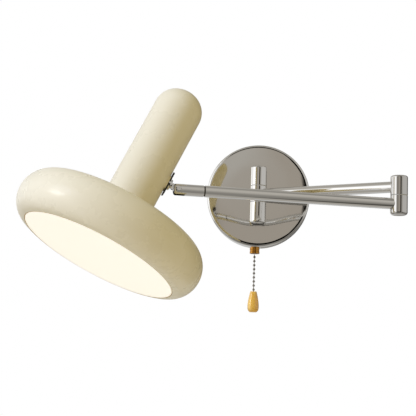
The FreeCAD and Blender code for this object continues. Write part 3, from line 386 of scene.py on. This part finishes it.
def makeWood(settings):
    # amber varnish over straight upright grain
    material, tree, shader = newMaterial("varnishedWood")
    along = stretched(tree, objectPlace(tree), settings["stretch"])
    rings = noise(tree, along, *settings["rings"])
    ringMask = greyRamp(tree, rings, settings["ringEdges"])
    grain = mixColour(tree, ringMask, settings["dark"], settings["light"])
    pores = noise(tree, along, *settings["pores"])
    poreMask = greyRamp(tree, pores, settings["poreEdges"], settings["poreStrength"])
    feed(tree, shader.inputs["Base Color"], mixColour(tree, poreMask, grain, settings["pore"]))
    feed(tree, shader.inputs["Roughness"], settings["roughness"])
    feed(tree, shader.inputs["Coat Weight"], 1.0)
    feed(tree, shader.inputs["Coat Roughness"], settings["varnishRoughness"])
    feed(tree, shader.inputs["Coat IOR"], settings["varnishIor"])
    bump(tree, shader, rings, settings["grainStrength"], settings["grainDepth"])
    return material


materials = {
    "mirror_chrome": makeMetal("mirrorChrome"),
    "plated_steel": makeMetal("platedSteel"),
    "turned_brass": makeMetal("turnedBrass"),
    "chain_metal": makeMetal("chainMetal"),
    "varnished_wood": makeWood(woodSettings),
    "cream_paint": makeEnamel("creamEnamel", enamelSettings),
    "trim_paint": makeEnamel("trimEnamel", trimSettings),
    "opal_acrylic": makeOpal(opalSettings),
    "black_plastic": makeMoulded("blackNylon"),
    "white_plastic": makeMoulded("whitePlastic"),
    "cable_sheath": makeMoulded("cableSheath"),
    "white_aluminium": makeMoulded("whiteAluminium"),
    "led_phosphor": makeMoulded("ledPhosphor"),
}

# Pieces whose finish differs from the rest of their slot: the elbow's pieces get a darker copy of the
# chrome, painted shade for the darker surroundings that they mirror, and the thin washers and the ring have their
# own greys
shadedElbowChrome = makeMetal("shadedElbowChrome")
greyNylon = makeMoulded("greyNylon")
ownFinishes = {
    "elbow_top": shadedElbowChrome,
    "elbow_base": shadedElbowChrome,
    "elbow_cap": shadedElbowChrome,
    "elbow_washer": greyNylon,
    "column_washers": greyNylon,
    "knuckle_ring": makeMoulded("ringNylon"),
    "knuckle_fork": makeSlotShadedForkChrome(forkSettings),
}
for part in frame["record"]["subparts"]:
    finish = ownFinishes.get(part["node"], materials[part["material_slot"]])
    for slot in nodes[part["node"]].material_slots:
        slot.material = finish
print("stage: materials")


# The switch's spring

switchCoilSettings = {
    "joint": "switch_pull",
    "travel": 8.0 * millimetre,
    "mergeWithin": 0.001 * millimetre,
}


def makeSwitchCoil(settings):
    # a copy of the spring with its doubled points merged, fixed to the base in place of the original part
    mesh = nodes["switch_spring"].data.copy()
    shape = bmesh.new()
    shape.from_mesh(mesh)
    bmesh.ops.remove_doubles(shape, verts=shape.verts, dist=settings["mergeWithin"])
    shape.to_mesh(mesh)
    shape.free()
    coil = bpy.data.objects.new("switchCoil", mesh)
    bpy.context.scene.collection.objects.link(coil)
    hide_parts("switch_spring")
    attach(coil, "base")
    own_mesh(coil)


makeSwitchCoil(switchCoilSettings)
print("stage: switch spring")


# Surroundings that the chrome mirrors, and the white ground that the camera sees. Turns are degrees
# round from the camera's side, to the right; rises are degrees above the horizon. A later panel covers
# an earlier one, and soft is the width of its edge in degrees.

surroundings = {
    "skyStops": [(-90, 0.42), (-62, 0.41), (-45, 0.235), (-20, 0.27), (0, 0.37), (20, 0.48),
                 (40, 0.50), (60, 0.43), (76, 0.30), (90, 0.20)],
    "skyTint": (1.0, 0.955, 0.87),
    "panels": [
        # pale walls and soft boxes, from behind the object round its left side, and one on the right
        {"turns": (-180, -150), "rises": (-62, 42), "soft": 14, "colour": (0.60, 0.60, 0.59)},
        {"turns": (150, 180), "rises": (-62, -14), "soft": 14, "colour": (0.55, 0.55, 0.54)},
        {"turns": (-152, -106), "rises": (-2, 20), "soft": 10, "colour": (0.80, 0.80, 0.80)},
        {"turns": (-100, -45), "rises": (-50, -20), "soft": 12, "colour": (0.50, 0.49, 0.47)},
        {"turns": (-112, -38), "rises": (-22, 38), "soft": 8, "colour": (0.98, 0.98, 0.98)},
        {"turns": (-80, -47), "rises": (-9, 26), "soft": 8, "colour": (1.30, 1.30, 1.31)},
        {"turns": (42, 114), "rises": (-14, 32), "soft": 12, "colour": (0.55, 0.54, 0.52)},
        # dark places: behind on the right, low and high on the right, and on the floor in front
        {"turns": (122, 152), "rises": (-40, 40), "soft": 12, "colour": (0.115, 0.11, 0.105)},
        {"turns": (152, 180), "rises": (-4, 40), "soft": 12, "colour": (0.125, 0.12, 0.115)},
        {"turns": (43, 66), "rises": (-64, -26), "soft": 10, "colour": (0.085, 0.08, 0.07)},
        {"turns": (50, 80), "rises": (47, 66), "soft": 10, "colour": (0.20, 0.195, 0.18)},
        {"turns": (-60, 30), "rises": (-72, -46), "soft": 8, "colour": (0.12, 0.115, 0.105)},
        # a black frame round the camera, with pale cards in it
        {"turns": (-30, 26), "rises": (-29, 44), "soft": 1.5, "colour": (0.004, 0.0035, 0.003)},
        {"turns": (-38, 11), "rises": (-6, 28), "soft": 1.2, "colour": (0.365, 0.33, 0.285)},
        {"turns": (-34, 0), "rises": (9, 26), "soft": 12, "colour": (0.43, 0.41, 0.375)},
        {"turns": (-38, -12), "rises": (-6, 12), "soft": 7, "colour": (0.27, 0.25, 0.22)},
    ],
    "ambient": (1.0, 0.86, 0.42),
    "ambientStrength": 0.41,
}


def makeSoftPanel():
    # a soft-edged rectangle in the turn and rise of a direction
    labels = ("Turn", "Rise", "Turn Centre", "Turn Half", "Rise Centre", "Rise Half", "Soft")
    tree, given, made = newGroup("softPanel", dict.fromkeys(labels, 0.0), ("Mask",))
    masks = []
    for way in ("Turn", "Rise"):
        away = calculate(tree, "ABSOLUTE", calculate(tree, "SUBTRACT", given[way], given[way + " Centre"]))
        inside = calculate(tree, "SUBTRACT", given[way + " Half"], away)
        edges = calculate(tree, "DIVIDE", inside, given["Soft"])
        masks.append(mapRange(tree, edges, source=(-0.5, 0.5), smooth=True))
    feed(tree, made["Mask"], calculate(tree, "MULTIPLY", *masks))
    return tree


def background(tree, colour, strength=1.0):
    node = addNode(tree, "ShaderNodeBackground")
    feed(tree, node.inputs["Color"], colour)
    feed(tree, node.inputs["Strength"], strength)
    return node.outputs["Background"]


def makeStudioPicture(tree, settings):
    # what mirrors see: a sky that changes with the rise, and the panels before it
    direction = addNode(tree, "ShaderNodeSeparateXYZ")
    feed(tree, direction.inputs["Vector"], addNode(tree, "ShaderNodeTexCoord").outputs["Generated"])
    towardsCamera = calculate(tree, "MULTIPLY", direction.outputs["Y"], -1.0)
    around = calculate(tree, "ARCTAN2", direction.outputs["X"], towardsCamera)
    turn = calculate(tree, "DEGREES", around)
    rise = calculate(tree, "DEGREES", calculate(tree, "ARCSINE", direction.outputs["Z"]))
    stops = [((angle + 90) / 180, tuple(level * part for part in settings["skyTint"]))
             for angle, level in settings["skyStops"]]
    picture = ramp(tree, mapRange(tree, rise, source=(-90.0, 90.0)), stops, "EASE")
    softPanel = makeSoftPanel()
    for panel in settings["panels"]:
        (left, right), (bottom, top) = panel["turns"], panel["rises"]
        mask = useGroup(tree, softPanel, {
            "Turn": turn, "Turn Centre": (left + right) / 2, "Turn Half": (right - left) / 2,
            "Rise": rise, "Rise Centre": (bottom + top) / 2, "Rise Half": (top - bottom) / 2,
            "Soft": panel["soft"]})["Mask"]
        picture = mixColour(tree, mask, picture, panel["colour"])
    return picture


def makeWorld(settings):
    world = bpy.data.worlds.new("studio")
    world.use_nodes = True
    tree = world.node_tree
    tree.nodes.clear()
    white = background(tree, (1.0, 1.0, 1.0))
    studio = background(tree, makeStudioPicture(tree, settings))
    ambient = background(tree, settings["ambient"], settings["ambientStrength"])
    rays = addNode(tree, "ShaderNodeLightPath").outputs
    shown = mixShader(tree, rays["Is Glossy Ray"], ambient, studio)
    for ray in ("Is Transmission Ray", "Is Camera Ray"):
        shown = mixShader(tree, rays[ray], shown, white)
    feed(tree, addNode(tree, "ShaderNodeOutputWorld").inputs["Surface"], shown)
    bpy.context.scene.world = world


makeWorld(surroundings)


# Lamps

lightSettings = {
    "key": {"place": (-1.7, -1.3, 0.95), "aim": (-0.12, -0.20, 0.0), "size": 1.1, "power": 43.5,
            "colour": (0.66, 0.75, 1.0), "gloss": False},
    "top": {"place": (-0.25, -0.55, 1.6), "aim": (-0.12, -0.20, 0.0), "size": 1.0, "power": 5.0,
            "colour": (0.80, 0.90, 1.0), "gloss": False},
    "fill": {"place": (1.3, -1.3, -0.3), "aim": (-0.05, -0.10, 0.0), "size": 1.2, "power": 2.5,
             "colour": (1.0, 0.88, 0.60), "gloss": False},
    "shine": {"place": (-1.80, -1.01, 0.44), "aim": (-0.15, -0.21, -0.05), "size": 0.40, "power": 4.4,
              "colour": (0.95, 0.98, 1.0), "gloss": True},
}
# the shine lamp is seen only in the gloss of these finishes
glossSlots = ("cream_paint", "trim_paint", "varnished_wood", "turned_brass")


def aimed(place, aim):
    turned = (Vector(aim) - Vector(place)).to_track_quat("-Z", "Y")
    return Matrix.Translation(place) @ turned.to_matrix().to_4x4()


def makeLights(settings):
    glossy = bpy.data.collections.new("glossyPieces")
    for part in frame["record"]["subparts"]:
        if part["material_slot"] in glossSlots:
            glossy.objects.link(nodes[part["node"]])
    for name, values in settings.items():
        data = bpy.data.lights.new(name, "AREA")
        data.shape = "DISK"
        data.size = values["size"]
        data.energy = values["power"]
        data.color = values["colour"]
        light = bpy.data.objects.new(name, data)
        light.matrix_world = aimed(values["place"], values["aim"])
        light.visible_glossy = values["gloss"]
        light.visible_diffuse = not values["gloss"]
        if values["gloss"]:
            light.light_linking.receiver_collection = glossy
        bpy.context.scene.collection.objects.link(light)


makeLights(lightSettings)


# Floor

floorSettings = {
    "level": -0.60,
    "size": 12.0,
    "light": (0.87, 0.83, 0.74),
    "dark": (0.84, 0.80, 0.71),
    "grain": (6.0, 3.0, 0.5),
    "roughness": 0.8,
    "paleNear": 0.72,
    "paleWithin": 0.5,
    "whiteBeyond": 2.4,
}


def makeFloor(settings):
    mesh = bpy.data.meshes.new("floor")
    half = settings["size"] / 2
    corners = [(-half, -half), (half, -half), (half, half), (-half, half)]
    mesh.from_pydata([(x, y, settings["level"]) for x, y in corners], [], [(0, 1, 2, 3)])
    floor = bpy.data.objects.new("floor", mesh)
    bpy.context.scene.collection.objects.link(floor)
    material, tree, shader = newMaterial("paleFloor")
    place = objectPlace(tree)
    grain = noise(tree, place, *settings["grain"])
    feed(tree, shader.inputs["Base Color"], mixColour(tree, grain, settings["dark"], settings["light"]))
    feed(tree, shader.inputs["Roughness"], settings["roughness"])
    # the camera sees it pale with its shadow near the object, and white further out
    rays = addNode(tree, "ShaderNodeLightPath").outputs
    away = vectorMaths(tree, "LENGTH", place)["Value"]
    whiteness = mapRange(tree, away, source=(settings["paleWithin"], settings["whiteBeyond"]),
                         result=(settings["paleNear"], 1.0), smooth=True)
    whitened = calculate(tree, "MULTIPLY", whiteness, rays["Is Camera Ray"])
    white = addNode(tree, "ShaderNodeEmission").outputs["Emission"]
    seen = mixShader(tree, whitened, shader.outputs["BSDF"], white)
    # mirrors and a camera below the floor see through it
    underside = addNode(tree, "ShaderNodeNewGeometry").outputs["Backfacing"]
    fromBelow = calculate(tree, "MULTIPLY", underside, rays["Is Camera Ray"])
    through = calculate(tree, "MAXIMUM", fromBelow, rays["Is Glossy Ray"])
    clear = addNode(tree, "ShaderNodeBsdfTransparent").outputs["BSDF"]
    surface = onlyNode(tree, "OUTPUT_MATERIAL").inputs["Surface"]
    feed(tree, surface, mixShader(tree, through, seen, clear))
    mesh.materials.append(material)


makeFloor(floorSettings)


# The view that the photograph was taken from

cameraSettings = {
    "place": (0.0195, -1.2271, -0.1707),
    "aim": (-0.0519, -0.1200, -0.0285),
    "rollDegrees": 1.94,
    "lens": 90.12,
    "sensor": 36.0,
}


def makeCamera(settings):
    data = bpy.data.cameras.new("photoView")
    data.lens = settings["lens"]
    data.sensor_width = settings["sensor"]
    camera = bpy.data.objects.new("photoView", data)
    roll = Matrix.Rotation(math.radians(settings["rollDegrees"]), 4, "Z")
    camera.matrix_world = aimed(settings["place"], settings["aim"]) @ roll
    bpy.context.scene.collection.objects.link(camera)
    bpy.context.scene.camera = camera


makeCamera(cameraSettings)
bpy.context.scene.view_settings.view_transform = "Standard"
print("stage: lights and camera")
